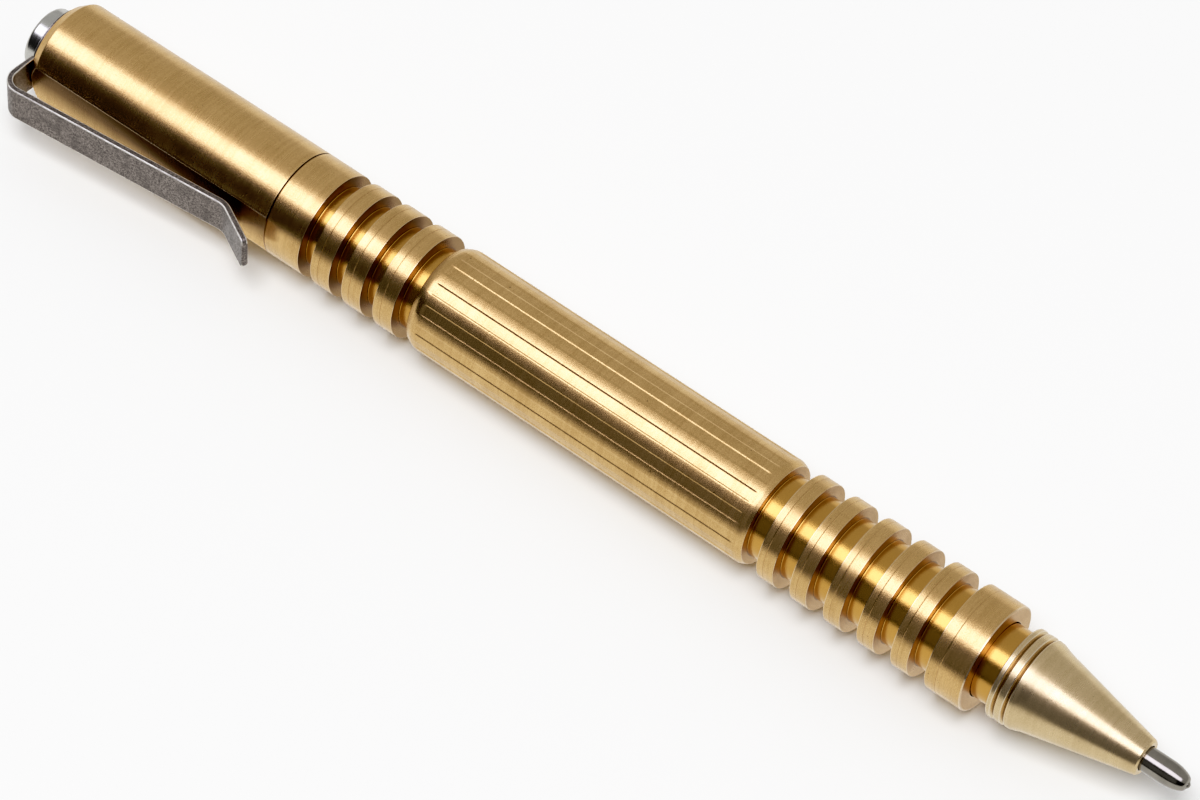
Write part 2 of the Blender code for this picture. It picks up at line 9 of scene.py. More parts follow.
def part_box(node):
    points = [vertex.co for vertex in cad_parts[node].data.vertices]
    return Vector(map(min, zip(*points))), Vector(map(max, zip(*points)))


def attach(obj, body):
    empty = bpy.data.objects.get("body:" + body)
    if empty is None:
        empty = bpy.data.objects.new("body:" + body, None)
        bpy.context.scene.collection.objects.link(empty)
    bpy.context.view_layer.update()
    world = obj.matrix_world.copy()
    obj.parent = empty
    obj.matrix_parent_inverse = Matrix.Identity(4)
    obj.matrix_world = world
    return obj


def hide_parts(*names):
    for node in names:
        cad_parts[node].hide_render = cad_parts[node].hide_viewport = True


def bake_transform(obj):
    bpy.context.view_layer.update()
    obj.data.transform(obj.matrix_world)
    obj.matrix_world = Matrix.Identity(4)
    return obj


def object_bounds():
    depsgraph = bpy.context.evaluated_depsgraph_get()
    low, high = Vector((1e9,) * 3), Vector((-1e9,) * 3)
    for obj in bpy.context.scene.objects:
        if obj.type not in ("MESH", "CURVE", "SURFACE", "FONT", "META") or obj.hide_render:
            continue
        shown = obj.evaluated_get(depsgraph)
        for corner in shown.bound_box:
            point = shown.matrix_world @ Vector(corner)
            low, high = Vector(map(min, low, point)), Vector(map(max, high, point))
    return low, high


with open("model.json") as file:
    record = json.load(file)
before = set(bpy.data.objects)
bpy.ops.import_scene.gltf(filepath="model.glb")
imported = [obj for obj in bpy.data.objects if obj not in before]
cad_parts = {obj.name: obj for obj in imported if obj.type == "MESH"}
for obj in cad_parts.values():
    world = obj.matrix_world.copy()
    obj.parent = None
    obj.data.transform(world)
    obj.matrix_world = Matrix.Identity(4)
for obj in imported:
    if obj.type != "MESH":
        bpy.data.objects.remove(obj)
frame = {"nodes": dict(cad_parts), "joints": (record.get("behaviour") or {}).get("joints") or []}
cad_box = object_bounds()

MM = 0.001

# The pen's axis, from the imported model: local z runs from the rear rim to the point, and local x
# points to the clip, which stands a few degrees above level.
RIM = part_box("rear_barrel")[0].x
NOSE_LOW, NOSE_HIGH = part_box("nose_cone")
AXIS_Y = (NOSE_LOW.y + NOSE_HIGH.y) / 2
AXIS_Z = (NOSE_LOW.z + NOSE_HIGH.z) / 2
JOINTS = {joint["name"]: joint for joint in frame["joints"]}
HINGE_AXIS = JOINTS["clip_flex"]["axis"]
CLIP_ROLL = math.atan2(-HINGE_AXIS[1], -HINGE_AXIS[2])
PEN = (
    Matrix.Translation((RIM, AXIS_Y, AXIS_Z))
    @ Matrix.Rotation(-math.pi / 2 - CLIP_ROLL, 4, "X")
    @ Matrix.Rotation(math.pi / 2, 4, "Y")
)


def station(node, end):
    """How far along the pen, in millimetres, a CAD node starts (end 0) or stops (end 1)."""
    return (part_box(node)[end].x - RIM) / MM


# Sizes along the pen and radii, in millimetres
BARREL_RADIUS = 5.556
RIM_RADIUS = 4.75
REAR_RADIUS = 5.44
RIM_CHAMFER = 0.95
REAR_BORE = 3.74
FLAT_HEIGHT = 5.0
REAR_END = station("rear_barrel", 1)
JOINT_GAP = 0.10
JOINT_STAIN = 0.06
FRONT_START = REAR_END + JOINT_GAP
FRONT_END = station("front_barrel", 1)
RING_PITCH = 3.81
GROOVE_RADIUS = 4.35
REAR_GROOVE_Z = 34.40
REAR_GROOVE_WIDTH = 1.52
REAR_GROOVES = 4
GRIP_END_Z = 87.10
FRONT_GROOVES = 6
FRONT_RING_WIDTH = 1.90
GRIP_Z = REAR_GROOVE_Z + (REAR_GROOVES - 1) * RING_PITCH + REAR_GROOVE_WIDTH
WIDE_RING_Z = GRIP_END_Z + FRONT_GROOVES * RING_PITCH - FRONT_RING_WIDTH
FLUTES = 15
FLUTE_WIDTH = 1.12
FLUTE_DEPTH = 0.07
FLUTE_WALL = 0.12
FLUTE_RUN_OUT = 0.9
NECK_RADIUS = 3.90
NOSE_Z = 114.19
NOSE_RADIUS = 4.65
MOUTH_Z = station("nose_cone", 1)
TIP_Z = station("point_ball", 1)
CLIP_WIDTH = 4.1
CLIP_THICKNESS = 0.48
CLIP_ARM_THICKNESS = 0.62
CLIP_FOOT_X = 3.95
CLIP_REACH = 8.70
CLIP_KINK_Z = 25.6
CLIP_TAIL_LENGTH = 4.95
EYE_Z = -0.02


# Meshes


def rounded(profile, radius, steps=3):
    """The profile with each corner turned into an arc, and a point close beside each arc, which
    keeps the shading of the long stretches flat. A corner is (r, z) or (r, z, its own radius). The
    points made are (r, z, wear), where wear is 1 on an outside corner and -1 in an inside one, of
    those that are sharp. A profile runs down its outer side."""
    count = len(profile)
    nearly_straight = math.radians(4)
    blunt = math.radians(50)
    made = []
    for i, corner in enumerate(profile):
        here = Vector(corner[:2])
        own = corner[2] if len(corner) > 2 else radius
        before = Vector(profile[i - 1][:2]) - here
        after = Vector(profile[(i + 1) % count][:2]) - here
        turn = math.pi - before.angle(after)
        if turn < nearly_straight or own <= 0:
            made.append((*here, 0))
            continue
        # Outside corners carry wear and a painted highlight, sharp inside ones a stain and painted
        # shade.
        wear_and_painted_light = 1 if before.cross(after) > 0 else -1
        if turn < blunt:
            wear_and_painted_light = 0
        reach = min(own * math.tan(turn / 2), before.length * 0.4, after.length * 0.4)
        start = here + before.normalized() * reach
        end = here + after.normalized() * reach
        gap = reach * 0.35
        made.append((*(start + before.normalized() * min(gap, before.length * 0.05)), 0))
        for k in range(steps + 1):
            t = k / steps
            made.append((*(start * (1 - t) ** 2 + here * 2 * t * (1 - t) + end * t * t), wear_and_painted_light))
        made.append((*(end + after.normalized() * min(gap, after.length * 0.05)), 0))
    return made


def mesh_object(name, shells, material):
    """One object from closed shells, each a list of points, faces and the points' wear."""
    merge_distance = 1e-7
    points = []
    faces = []
    wear_and_painted_light = []
    for own_points, own_faces, own_wear in shells:
        start = len(points)
        points += [tuple(point) for point in own_points]
        faces += [tuple(start + i for i in face) for face in own_faces]
        wear_and_painted_light += own_wear
    mesh = bpy.data.meshes.new(name)
    mesh.from_pydata(points, [], faces)
    mesh.attributes.new("wear_and_painted_light", "FLOAT", "POINT").data.foreach_set("value", wear_and_painted_light)
    work = bmesh.new()
    work.from_mesh(mesh)
    bmesh.ops.remove_doubles(work, verts=work.verts, dist=merge_distance)
    bmesh.ops.dissolve_degenerate(work, edges=work.edges, dist=merge_distance)
    bmesh.ops.recalc_face_normals(work, faces=work.faces)
    work.to_mesh(mesh)
    work.free()
    mesh.materials.append(material)
    mesh.shade_smooth()
    mesh.set_sharp_from_angle(angle=math.radians(50))
    obj = bpy.data.objects.new(name, mesh)
    bpy.context.scene.collection.objects.link(obj)
    return obj


def shell(loops, closed=True):
    """A surface over loops of points, each (x, y, z, wear) in the pen's own millimetres. With
    closed, the last loop joins the first, else both ends are filled."""
    rows = len(loops)
    columns = len(loops[0])
    wear_and_painted_light = [float(point[3]) for loop in loops for point in loop]
    points = [PEN @ (Vector(point[:3]) * MM) for loop in loops for point in loop]
    faces = []
    for i in range(rows if closed else rows - 1):
        here = i * columns
        there = (i + 1) % rows * columns
        for j in range(columns):
            k = (j + 1) % columns
            faces.append((here + j, here + k, there + k, there + j))
    if not closed:
        faces.append(tuple(range(columns)))
        faces.append(tuple(range((rows - 1) * columns, rows * columns)))
    return points, faces, wear_and_painted_light


def circle(radius, z, columns, wear_and_painted_light=0):
    """A loop round the axis, at even steps, or at the angles given."""
    if isinstance(columns, int):
        columns = [2 * math.pi * i / columns for i in range(columns)]
    return [(radius * math.cos(turn), radius * math.sin(turn), z, wear_and_painted_light) for turn in columns]


def turned_shell(profile, columns, closed=True):
    """A surface turned from points (r, z) or (r, z, wear)."""
    loops = [circle(max(radius, 1e-6), z, columns, *wear_and_painted_light) for radius, z, *wear_and_painted_light in profile]
    return shell(loops, closed)


def turned(name, profile, material, columns=128, closed=True):
    """A turned piece. An open profile starts and ends on the axis."""
    return mesh_object(name, [turned_shell(profile, columns, closed)], material)


def finish_faces(piece, material, choose):
    """Another finish on those faces of a piece that choose picks."""
    piece.data.materials.append(material)
    for face in piece.data.polygons:
        if choose(face):
            face.material_index = len(piece.data.materials) - 1


def stand_for(piece, body, slot, *nodes):
    """The piece rides on a body, in place of CAD nodes. The slot is not used."""
    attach(piece, body)
    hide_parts(*nodes)


# Materials


class Nodes:
    """A material under construction, with short names for the nodes that it uses."""

    def __init__(self, name):
        self.material = bpy.data.materials.new(name)
        self.material.use_nodes = True
        self.tree = self.material.node_tree
        self.shader = self.tree.nodes["Principled BSDF"]

    def add(self, kind, **settings):
        node = self.tree.nodes.new("ShaderNode" + kind)
        for key, value in settings.items():
            setattr(node, key, value)
        return node

    def link(self, source, target):
        self.tree.links.new(source, target)

    def value(self, source, socket):
        """Feeds a socket from another, or sets it to a plain number."""
        if isinstance(source, bpy.types.NodeSocket):
            self.link(source, socket)
        else:
            socket.default_value = source

    def math(self, operation, a, b=0.0, c=0.0):
        node = self.add("Math", operation=operation)
        for source, socket in zip((a, b, c), node.inputs):
            self.value(source, socket)
        return node.outputs[0]

    def vector(self, operation, a, b):
        node = self.add("VectorMath", operation=operation)
        self.value(a, node.inputs[0])
        self.value(b, node.inputs[1])
        return node.outputs["Vector"]

    def place(self):
        """The point on the piece, measured from the pen's axis."""
        here = self.add("TexCoord").outputs["Object"]
        return self.vector("SUBTRACT", here, (0, AXIS_Y, AXIS_Z))

    def noise(self, vector, scale, detail=2.0, rough=0.5):
        node = self.add("TexNoise")
        self.value(vector, node.inputs["Vector"])
        node.inputs["Scale"].default_value = scale
        node.inputs["Detail"].default_value = detail
        node.inputs["Roughness"].default_value = rough
        return node.outputs["Fac"]

    def spread(self, source, low, high, start=0.0, end=1.0):
        """The source's range low to high, stretched to start to end and held there."""
        node = self.add("MapRange")
        for key, value in zip(("From Min", "From Max", "To Min", "To Max"), (low, high, start, end)):
            node.inputs[key].default_value = value
        self.link(source, node.inputs["Value"])
        return node.outputs[0]

    def mix(self, factor, a, b):
        node = self.add("Mix", data_type="RGBA")
        self.value(factor, node.inputs["Factor"])
        self.value(a if isinstance(a, bpy.types.NodeSocket) else (*a, 1), node.inputs[6])
        self.value(b if isinstance(b, bpy.types.NodeSocket) else (*b, 1), node.inputs[7])
        return node.outputs[2]

    def bump(self, height, distance, normal=None):
        node = self.add("Bump")
        node.inputs["Strength"].default_value = 1.0
        node.inputs["Distance"].default_value = distance
        self.link(height, node.inputs["Height"])
        if normal:
            self.link(normal, node.inputs["Normal"])
        return node.outputs["Normal"]

    def wear_and_light_masks(self, noise):
        """How far a place is an outside corner, rubbed bright with wear and a painted highlight, and
        how far an inside corner or joint, stained and darkened with painted shade.
        """
        wear_and_painted_light = self.add("Attribute", attribute_name="wear_and_painted_light").outputs["Fac"]
        edges = self.math("MULTIPLY", self.spread(wear_and_painted_light, 0, 1), self.spread(noise, 0.35, 0.6, 0.5, 1))
        return edges, self.spread(wear_and_painted_light, 0, -1)

    def finish(self, colour, roughness, normal, metallic=1.0):
        self.value(colour, self.shader.inputs["Base Color"])
        self.value(roughness, self.shader.inputs["Roughness"])
        self.shader.inputs["Metallic"].default_value = metallic
        self.link(normal, self.shader.inputs["Normal"])
        return self.material


def scaled(colour, share):
    return tuple(share * value for value in colour)


def turned_metal(
    name, bright, deep, roughness, line_depth, grain_depth, narrow=1.0, cut=None, shade=None
):
    """Bare metal off the lathe: rings of fine tool lines on every turned face, a short grain along
    them, faint patches of tarnish and a few dark specks. The inside corners are stained and darkened
    with painted shade, and the outside ones rubbed bright with a painted highlight. Depths are in
    millimetres. Narrow is the share of the roughness that the narrow parts have, and cut the share
    of
    red, green and blue that the grooves keep, which is painted shade in them. Shade is painted
    shade:
    the axis that it follows, its colour, and places along the axis with how far the metal is
    darkened."""
    made = Nodes(name)
    place = made.place()
    parts = made.add("SeparateXYZ")
    made.link(place, parts.inputs[0])
    across = made.vector("MULTIPLY", place, (0, 1, 1))
    length = made.add("VectorMath", operation="LENGTH")
    made.link(across, length.inputs[0])
    radius = length.outputs["Value"]
    along = made.math("MULTIPLY_ADD", radius, 0.83, parts.outputs[0])
    ring_space = made.add("CombineXYZ")
    made.link(along, ring_space.inputs[0])
    slow = 0.03
    made.link(made.math("MULTIPLY", parts.outputs[1], slow), ring_space.inputs[1])
    made.link(made.math("MULTIPLY", parts.outputs[2], slow), ring_space.inputs[2])
    rings = ring_space.outputs[0]

    fine = made.noise(rings, 9000, 3, 0.6)
    coarse = made.noise(rings, 3200, 2, 0.5)
    grain = made.noise(place, 10500, 2, 0.6)
    patches = made.noise(place, 320, 4, 0.6)
    specks = made.noise(place, 2600, 1, 0.4)
    edges, corners = made.wear_and_light_masks(patches)

    tone = made.math("MULTIPLY_ADD", coarse, 0.22, made.math("MULTIPLY", patches, 0.25))
    tone = made.math("MULTIPLY_ADD", grain, 0.53, tone)
    colour = made.mix(made.spread(tone, 0.40, 0.60), bright, deep)
    colour = made.mix(made.spread(specks, 0.78, 0.84), colour, scaled(deep, 0.55))
    # Painted highlight, partly wear: outside corners are paled as if they caught the light.
    pale = tuple(1 - 0.6 * (1 - value) for value in bright)
    colour = made.mix(made.math("MULTIPLY", edges, 0.6), colour, pale)
    # Inside corners get painted shade in this colour; the dark joint between the barrels is a real
    # stain.
    stain_and_shade = tuple(share * value for share, value in zip((0.36, 0.26, 0.14), deep))
    colour = made.mix(made.math("MULTIPLY", corners, 0.85), colour, stain_and_shade)
    # Painted shade: the grooves and narrow parts are darker and browner, for the shade and
    # reflections inside them.
    if cut:
        groove_shade_colours = [tuple(a * b for a, b in zip(cut, whole)) for whole in (bright, deep)]
        grooves = made.spread(radius, 4.5 * MM, 5.2 * MM, 1, 0)
        colour = made.mix(grooves, colour, made.mix(tone, *groove_shade_colours))
    # Painted shade: a ramp along one axis mixes the colour towards a dark shade colour.
    if shade:
        axis, painted_shade_colour, places = shade
        low, high = places[0][0], places[-1][0]
        ramp = made.add("ValToRGB")
        made.link(made.spread(parts.outputs[axis], low, high), ramp.inputs[0])
        for place_along, _ in places[1:-1]:
            ramp.color_ramp.elements.new((place_along - low) / (high - low))
        for stop, (_, share) in zip(ramp.color_ramp.elements, places):
            stop.color = (share, share, share, 1)
        colour = made.mix(ramp.outputs[0], colour, painted_shade_colour)

    rough = made.spread(patches, 0.3, 0.7, roughness - 0.08, roughness - 0.01)
    rough = made.math("MULTIPLY_ADD", fine, 0.08, rough)
    rough = made.math("MULTIPLY", rough, made.spread(radius, 4.3 * MM, 5.0 * MM, narrow, 1))
    rough = made.math("MULTIPLY_ADD", edges, -0.08, rough)
    height = made.math("MULTIPLY_ADD", fine, 0.8, made.math("MULTIPLY", coarse, 0.2))
    normal = made.bump(height, line_depth * MM)
    normal = made.bump(grain, grain_depth * MM, normal=normal)
    return made.finish(colour, rough, normal)


def blasted_steel(name, bright, deep, roughness):
    """Bead blasted steel: a fine even grain with lighter and darker specks, rubbed bright along its
    edges, partly wear and partly a painted highlight for the glint along them."""
    made = Nodes(name)
    place = made.place()
    grain = made.noise(place, 5600, 4, 0.7)
    patches = made.noise(place, 700, 3, 0.6)
    edges, _ = made.wear_and_light_masks(patches)
    colour = made.mix(made.spread(grain, 0.38, 0.62), deep, bright)
    colour = made.mix(made.spread(patches, 0.45, 0.75, 0, 0.6), colour, scaled(deep, 0.85))
    # Painted highlight, partly wear: the edges are paled as a glint.
    colour = made.mix(edges, colour, (0.95, 0.92, 0.84))
    rough = made.spread(grain, 0.3, 0.7, roughness + 0.06, roughness - 0.06)
    return made.finish(colour, rough, made.bump(grain, 0.014 * MM))


def polished_steel(name, bright, deep, roughness):
    """Polished steel with faint turning rings and hairline scratches."""
    made = Nodes(name)
    place = made.place()
    rings = made.vector("MULTIPLY", place, (1, 0.05, 0.05))
    lines = made.noise(rings, 7000, 2, 0.5)
    hairs = made.noise(made.vector("MULTIPLY", place, (0.08, 1, 0.5)), 5000, 2, 0.5)
    patches = made.noise(place, 500, 3, 0.5)
    colour = made.mix(made.spread(patches, 0.3, 0.7), bright, deep)
    rough = made.spread(lines, 0.3, 0.7, roughness - 0.03, roughness + 0.05)
    normal = made.bump(lines, 0.0015 * MM)
    normal = made.bump(made.spread(hairs, 0.62, 0.72), 0.0008 * MM, normal=normal)
    return made.finish(colour, rough, normal)


def moulded(name, bright, deep, roughness, grain_depth=0.004):
    """Moulded plastic, rubber, ink or grease: a soft skin with slight flow patches."""
    made = Nodes(name)
    place = made.place()
    patches = made.noise(place, 350, 3, 0.5)
    grain = made.noise(place, 6000, 2, 0.5)
    colour = made.mix(made.spread(patches, 0.3, 0.7), bright, deep)
    rough = made.spread(grain, 0.3, 0.7, roughness - 0.05, roughness + 0.05)
    return made.finish(colour, rough, made.bump(grain, grain_depth * MM), metallic=0.0)


BRIGHT_BRASS = (0.74, 0.51, 0.25)
DEEP_BRASS = (0.56, 0.37, 0.165)

# Painted shade: the flat is darker towards its upper edge, standing in for the clip's dark
# reflection in it, and the walls of the grooves are darker towards the rear.
FLAT_PAINTED_SHADE = [(h * MM, share) for h, share in ((-1.3, 0), (0.1, 0.52), (1.1, 0.84), (2.4, 0.88))]
WALL_PAINTED_SHADE = [
    (RIM + z * MM, share) for z, share in ((33, 0.7), (47, 0.6), (88, 0.3), (112, 0.2))
]

BRASS = turned_metal(
    "turned_brass", BRIGHT_BRASS, DEEP_BRASS, 0.27, 0.004, 0.006, narrow=0.78, cut=(0.90, 0.80, 0.52)
)
# Brass with painted shade across the flat, darker towards its upper edge.
FLAT_BRASS_PAINTED_SHADE = turned_metal(
    "milled_brass_painted_shade", BRIGHT_BRASS, DEEP_BRASS, 0.27, 0.003, 0.004,
    shade=(2, (0.11, 0.055, 0.010), FLAT_PAINTED_SHADE),
)
# Painted shade: a darker copy of the brass for the walls of the grooves, darker still towards the
# rear.
WALL_BRASS_PAINTED_SHADE = turned_metal(
    "wall_brass_painted_shade", (0.68, 0.44, 0.19), (0.48, 0.30, 0.12), 0.30, 0.005, 0.004,
    shade=(0, (0.16, 0.085, 0.025), WALL_PAINTED_SHADE),
)
NOSE_BRASS = turned_metal("nose_brass", (0.73, 0.575, 0.36), (0.60, 0.465, 0.27), 0.29, 0.004, 0.004)
CLIP_STEEL = blasted_steel("blasted_steel", (0.37, 0.33, 0.30), (0.115, 0.10, 0.09), 0.38)
# Painted shade: a darker copy of the clip's steel for its inner face.
CLIP_INSIDE_PAINTED_SHADE = blasted_steel("steel_painted_shade", (0.40, 0.34, 0.26), (0.26, 0.215, 0.16), 0.55)
# Painted light: a lighter copy of the clip's steel inside its tail, which lightens its reflection in
# the barrel.
CLIP_TAIL_PAINTED_LIGHT = blasted_steel("steel_painted_light", (0.92, 0.90, 0.86), (0.80, 0.77, 0.73), 0.60)
STEEL = polished_steel("polished_steel", (0.62, 0.61, 0.57), (0.51, 0.50, 0.47), 0.20)
POINT_STEEL = polished_steel("point_steel", (0.38, 0.355, 0.31), (0.28, 0.262, 0.23), 0.15)


# Brass pieces


def barrel_loop(radius, z, wear_and_painted_light):
    """A loop of the rear barrel, flat where the milled face cuts it. The cutter has left a fine burr
    along both edges of the flat, painted bright as a highlight, and the dark joint between the
    barrels crosses it."""
    cut = radius > FLAT_HEIGHT
    burr_height, burr_offset, burr_foot = (0.022, 0.03, 0.08) if cut else (0.0, 0.0, 0.0)
    half = math.acos(FLAT_HEIGHT / radius) if cut else 0.0
    height = min(FLAT_HEIGHT, radius)
    loop = []
    joint_stain_and_shade = -1 if z > REAR_END - JOINT_STAIN else wear_and_painted_light
    for share in (-1, -0.93, -0.5, 0, 0.5, 0.93, 1):
        # The flat's edges are painted bright, a painted highlight along the burr.
        edge = 1 if abs(share) == 1 and cut else joint_stain_and_shade
        loop.append((height, share * height * math.tan(half), z, edge))
    low = half + burr_foot / radius
    steps = 144
    turns = [low + (2 * math.pi - 2 * low) * i / steps for i in range(steps + 1)]
    rest = circle(radius, z, turns, wear_and_painted_light)
    peak = half + burr_offset / radius
    peaks = circle(radius + burr_height, z, [peak, -peak], 1 if cut else wear_and_painted_light)
    return [*loop, peaks[0], *rest, peaks[1]]


def rear_barrel():
    """The rear barrel, with short rows at the joint for its stain and on the chamfer, where the flat
    runs out."""
    outline = [(BARREL_RADIUS, REAR_END, 0.03)]
    outline += [(BARREL_RADIUS, REAR_END - row, 0) for row in (0.05, 0.11)]
    outline += [(REAR_RADIUS, RIM_CHAMFER, 0.15), (RIM_RADIUS, 0, 0.08)]
    outline += [(REAR_BORE, 0, 0.05), (REAR_BORE, REAR_END, 0)]
    profile = rounded(outline, 0.05)
    made = []
    for (r0, z0, wear_and_painted_light), (r1, z1, _) in zip(profile, profile[1:] + profile[:1]):
        made.append((r0, z0, wear_and_painted_light))
        cuts = 8 if r0 > FLAT_HEIGHT > r1 and abs(z1 - z0) > 0.2 else 1
        for i in range(1, cuts):
            t = i / cuts
            made.append((r0 + (r1 - r0) * t, z0 + (z1 - z0) * t, 0))
    loops = [barrel_loop(*row) for row in made]
    piece = mesh_object("rear_barrel_shell", [shell(loops)], BRASS)
    facing = (PEN.to_3x3() @ Vector((1, 0, 0))).normalized()
    # The flat gets the brass with painted shade.
    finish_faces(piece, FLAT_BRASS_PAINTED_SHADE, lambda face: face.normal.dot(facing) > 0.9999)
    stand_for(piece, "barrel", "brass", "rear_barrel")


def flute_turns():
    """Angles round the barrel, closer together at the walls of the flutes."""
    half = math.degrees(math.asin(FLUTE_WIDTH / 2 / BARREL_RADIUS))
    wall = (-1.75, -1.2, -0.75, -0.25, 0.25, 0.75, 1.2, 1.75)
    land = 9.4
    offsets = [0] + [half + step for step in wall] + [land]
    period = 360 / FLUTES
    turns = []
    for i in range(FLUTES):
        middle = period * (i + 0.5)
        turns += [middle - offset for offset in reversed(offsets[1:])]
        turns += [middle + offset for offset in offsets]
        turns.append(middle + period / 2)
    return [math.radians(turn) for turn in turns]


def flute_depth(turn, z, low, high):
    """How deep the flutes cut at a place on the grip. Their ends run out gently."""
    period = 2 * math.pi / FLUTES
    offset = (turn % period) - period / 2
    across = FLUTE_WIDTH / 2 + FLUTE_WALL - abs(offset) * BARREL_RADIUS
    along = (high - low) / 2 - abs(z - (low + high) / 2)
    depth = FLUTE_DEPTH
    for share in (across / (2 * FLUTE_WALL), along / FLUTE_RUN_OUT):
        share = min(max(share, 0), 1)
        depth *= share * share * (3 - 2 * share)
    return depth


def tool_line(z):
    """A fine line cut round the barrel, from front to rear."""
    depth = 0.028
    half = 0.055
    edge = 0.02
    root = BARREL_RADIUS - depth
    return [(BARREL_RADIUS, z + half, edge), (root, z, edge), (BARREL_RADIUS, z - half, edge)]


def front_outline(rear_chamfer, front_chamfer):
    """The front barrel's outline, from its front end back to the joint and forward through the bore.
    Each ring has a tool line at the same share of its width."""
    ring_share = 0.62
    bore = 3.15
    rear_socket, rear_socket_end = 3.9, 35
    nose_socket = 3.98
    outline = [(BARREL_RADIUS, FRONT_END, 0.14)]
    outline += tool_line(WIDE_RING_Z + (FRONT_END - WIDE_RING_Z) * 0.30)
    for i in reversed(range(FRONT_GROOVES)):
        z = GRIP_END_Z + i * RING_PITCH
        width = RING_PITCH - FRONT_RING_WIDTH
        outline += [(BARREL_RADIUS, z + width, 0.07), (GROOVE_RADIUS, z + width, 0.09)]
        outline += [(GROOVE_RADIUS, z, 0.09)]
        outline += [(BARREL_RADIUS - (front_chamfer / 2 if i == 0 else 0), z, 0.05)]
        if i > 0:
            outline += tool_line(z - FRONT_RING_WIDTH * ring_share)
    outline += [(BARREL_RADIUS, GRIP_END_Z - front_chamfer, 1.1)]
    outline += [(BARREL_RADIUS, GRIP_Z + rear_chamfer, 1.6)]
    for i in reversed(range(REAR_GROOVES)):
        z = REAR_GROOVE_Z + i * RING_PITCH
        last = i == REAR_GROOVES - 1
        outline += [(BARREL_RADIUS - (rear_chamfer / 2 if last else 0), z + REAR_GROOVE_WIDTH, 0.05)]
        outline += [(GROOVE_RADIUS, z + REAR_GROOVE_WIDTH, 0.09), (GROOVE_RADIUS, z, 0.09)]
        outline += [(BARREL_RADIUS, z, 0.05)]
        if i > 0:
            outline += tool_line(z - (RING_PITCH - REAR_GROOVE_WIDTH) * ring_share)
    outline += [(BARREL_RADIUS, FRONT_START + row, 0) for row in (0.20, 0.14)]
    outline += [(BARREL_RADIUS, FRONT_START, 0.06), (rear_socket, FRONT_START, 0)]
    outline += [(bore, rear_socket_end, 0), (bore, WIDE_RING_Z, 0)]
    outline += [(nose_socket, WIDE_RING_Z, 0), (nose_socket, FRONT_END, 0.05)]
    return outline


def front_barrel():
    """The front barrel. Its edge at the joint is stained, and a wider band where it stands over the
    flat is painted shade, for the shadow at the step. The flutes need rows of their own along the
    one long stretch, which is the grip."""
    long_stretch = 30
    rear_chamfer = 0.85
    front_chamfer = 0.60
    low = GRIP_Z + rear_chamfer - 0.1
    high = GRIP_END_Z - front_chamfer + 0.1
    edge_stain = FRONT_START + 0.07
    shade_over_flat = FRONT_START + 0.17
    run_out = [FLUTE_RUN_OUT * i / 8 for i in range(9)]
    flute_rows = [high - step for step in run_out] + [low + step for step in reversed(run_out)]
    profile = rounded(front_outline(rear_chamfer, front_chamfer), 0.05, steps=2)
    made = []
    for (r0, z0, wear_and_painted_light), (_, z1, _) in zip(profile, profile[1:] + profile[:1]):
        made.append((r0, z0, -1 if z0 < edge_stain else wear_and_painted_light))
        if z0 - z1 > long_stretch and r0 > GROOVE_RADIUS:
            made += [(BARREL_RADIUS, z, 0) for z in flute_rows if z1 < z < z0]
    turns = flute_turns()
    loops = []
    for radius, z, wear_and_painted_light in made:
        grip = radius > GROOVE_RADIUS + 0.5 and low - 1 < z < high + 1
        loop = []
        for turn in turns:
            depth = flute_depth(turn, z, low, high) if grip else 0.0
            # Painted shade: a wider dark band where the front barrel's edge stands over the flat.
            joint_stain_and_shade = z < shade_over_flat and math.cos(turn) > FLAT_HEIGHT / BARREL_RADIUS
            x, y = (radius - depth) * math.cos(turn), (radius - depth) * math.sin(turn)
            loop.append((x, y, z, -1 if joint_stain_and_shade else wear_and_painted_light))
        loops.append(loop)
    piece = mesh_object("front_barrel_shell", [shell(loops)], BRASS)
    # The walls of the grooves get the brass with painted shade.
    finish_faces(piece, WALL_BRASS_PAINTED_SHADE, lambda face: abs(face.normal.x) > 0.8)
    stand_for(piece, "barrel", "brass", "front_barrel")


